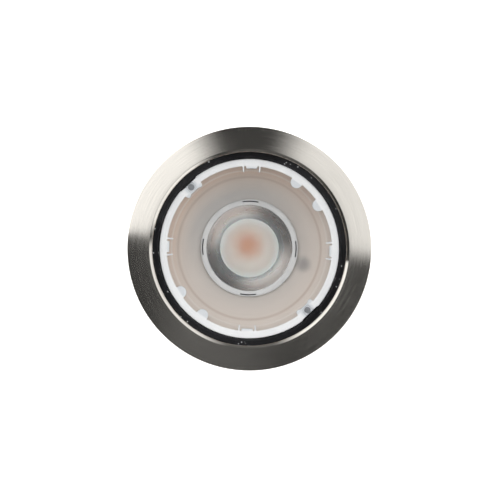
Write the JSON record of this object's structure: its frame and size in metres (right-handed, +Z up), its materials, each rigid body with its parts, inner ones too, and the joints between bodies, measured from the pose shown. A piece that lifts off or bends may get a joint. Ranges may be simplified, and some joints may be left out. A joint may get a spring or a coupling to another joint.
{
  "type": "recessed soffit downlight",
  "caption": "Round recessed downlight: brushed trim, front glass, deep satin reflector, finned can, cable gland and sprung clips that swing up to pass the cut-out.",
  "frame": {"origin": "centre of the gasket's upper face, which lies against the soffit", "axes": "+Z up into the ceiling void along the lamp's axis, light leaves towards -Z; +X through the first spring clip"},
  "size_m": [0.15, 0.15, 0.1111],
  "materials": {
    "brushed_trim": "circular brushed stainless, polished inner chamfer",
    "clear_glass": "flat toughened glass, clear",
    "black_silicone": "black silicone",
    "grey_foam": "closed-cell foam",
    "black_casting": "black powder coat on die-cast aluminium",
    "white_moulding": "white moulded plastic, low sheen",
    "satin_reflector": "satin anodised spinning",
    "pale_collar": "pale grey moulded plastic",
    "polished_cone": "polished aluminium",
    "frosted_dome": "frosted, translucent",
    "white_board": "white solder mask on a metal-core board",
    "warm_emitter": "warm phosphor in clear silicone",
    "thermal_grey": "soft thermal pad",
    "black_nylon": "black glass-filled nylon",
    "white_ceramic": "moulded insulator",
    "stainless": "bright stainless",
    "black_screw": "blackened steel",
    "brass_screw": "plated brass",
    "spring_steel": "stainless spring steel",
    "red_black_lead": "insulated lead",
    "black_rubber": "soft black rubber"
  },
  "bodies": {
    "lamp": {"lamp_housing": "black_casting", "optic_ring": "white_moulding", "optic_ring_screws": "black_screw", "reflector_bowl": "satin_reflector", "reflector_collar": "pale_collar", "inner_reflector": "polished_cone", "dome_diffuser": "frosted_dome", "thermal_pad": "thermal_grey", "led_board": "white_board", "led_emitter": "warm_emitter", "led_holder": "white_moulding", "holder_screws": "stainless", "lead_wires": "red_black_lead", "rear_cap": "black_casting", "rear_cap_gasket": "black_silicone", "rear_cap_screws": "stainless", "terminal_block": "white_ceramic", "terminal_block_screw": "stainless", "terminal_clamps": "brass_screw", "gland_body": "black_nylon", "gland_washer": "black_silicone", "gland_seal": "black_rubber", "gland_locknut": "black_nylon", "gland_nut": "black_nylon", "clip_screws": "stainless", "clip_pins": "stainless", "clip_bracket_1": "stainless", "clip_spring_1": "spring_steel", "clip_bracket_2": "stainless", "clip_spring_2": "spring_steel", "clip_bracket_3": "stainless", "clip_spring_3": "spring_steel"},
    "glass": {"front_glass": "clear_glass", "glass_gasket": "black_silicone"},
    "trim": {"trim_bezel": "brushed_trim", "soffit_gasket": "grey_foam"},
    "clip_arm_1": {"clip_arm_1": "spring_steel", "clip_sleeve_1": "black_rubber"},
    "clip_arm_2": {"clip_arm_2": "spring_steel", "clip_sleeve_2": "black_rubber"},
    "clip_arm_3": {"clip_arm_3": "spring_steel", "clip_sleeve_3": "black_rubber"}
  },
  "joints": [
    {"name": "clip_swing_1", "type": "hinge", "parent": "lamp", "child": "clip_arm_1", "pos_m": [0.065, 0, 0.04], "axis": [0, -1, 0], "range_deg": [0, 168], "stiffness_Nm_per_rad": 0.15, "springref_deg": -45.84, "deforming": ["clip_spring_1"]},
    {"name": "clip_swing_2", "type": "hinge", "parent": "lamp", "child": "clip_arm_2", "pos_m": [-0.0325, 0.05629, 0.04], "axis": [0.866, 0.5, 0], "range_deg": [0, 168], "stiffness_Nm_per_rad": 0.15, "springref_deg": -45.84, "deforming": ["clip_spring_2"]},
    {"name": "clip_swing_3", "type": "hinge", "parent": "lamp", "child": "clip_arm_3", "pos_m": [-0.0325, -0.05629, 0.04], "axis": [-0.866, 0.5, 0], "range_deg": [0, 168], "stiffness_Nm_per_rad": 0.15, "springref_deg": -45.84, "deforming": ["clip_spring_3"]},
    {"name": "glass_drop", "type": "slide", "parent": "lamp", "child": "glass", "axis": [0, 0, -1], "range_m": [0, 0.006]},
    {"name": "trim_unscrew", "type": "hinge", "parent": "glass", "child": "trim", "pos_m": [0, 0, 0], "axis": [0, 0, -1], "range_deg": [0, 1080]}
  ],
  "couplings": [
    {"joint": "glass_drop", "follows": "trim_unscrew", "m_per_rad": 0.00031831}
  ]
}
